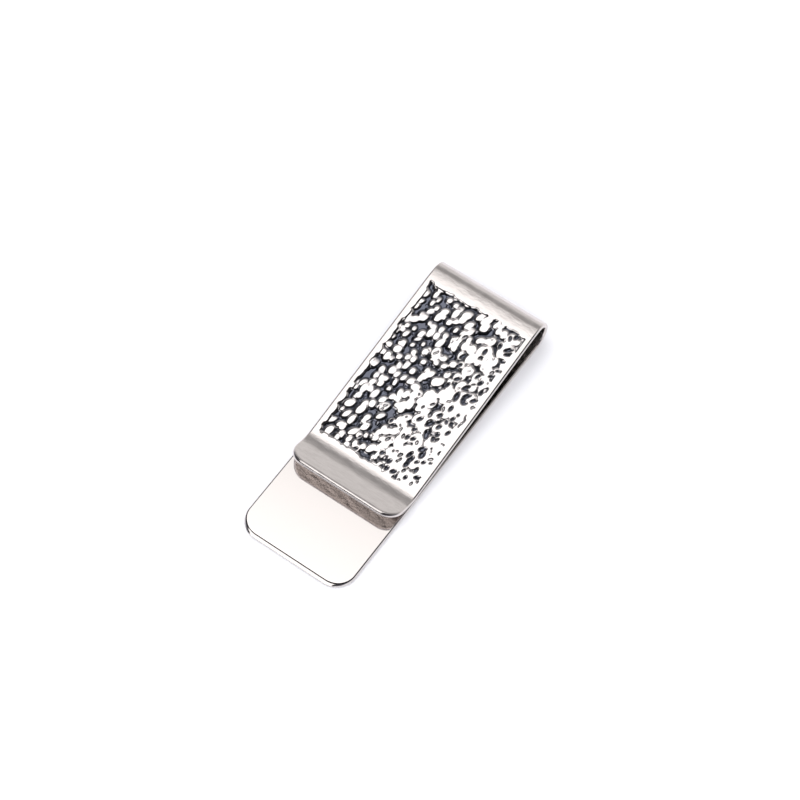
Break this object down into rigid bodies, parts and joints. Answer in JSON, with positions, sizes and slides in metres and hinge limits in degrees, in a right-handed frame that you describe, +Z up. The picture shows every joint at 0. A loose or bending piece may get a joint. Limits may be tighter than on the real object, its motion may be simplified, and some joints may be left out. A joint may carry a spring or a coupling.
{
  "type": "money clip",
  "caption": "Spring clip of one bent metal strip, with a hammered front leaf, a turned-up lip and a longer plain back leaf, for holding folded banknotes.",
  "frame": {"origin": "under the middle of the clip's overall length and width, on the flat that it rests on", "axes": "+X from the bend towards the free ends, Y across the strip, +Z up from the back leaf to the front leaf"},
  "size_m": [0.0644, 0.0232, 0.0066],
  "materials": {
    "polished_metal": "mirror polished",
    "hammered_metal": "hammered, then mirror polished"
  },
  "bodies": {
    "back": {"back_leaf": "polished_metal", "lower_bend": "polished_metal"},
    "front": {"upper_bend": "polished_metal", "front_leaf": "polished_metal", "hammered_panel": "hammered_metal", "front_lip": "polished_metal"}
  },
  "joints": [
    {"name": "bend_flex", "type": "hinge", "parent": "back", "child": "front", "pos_m": [-0.03215, 0, 0.0033], "axis": [0, -1, 0], "range_deg": [0, 8], "stiffness_Nm_per_rad": 4.2}
  ]
}
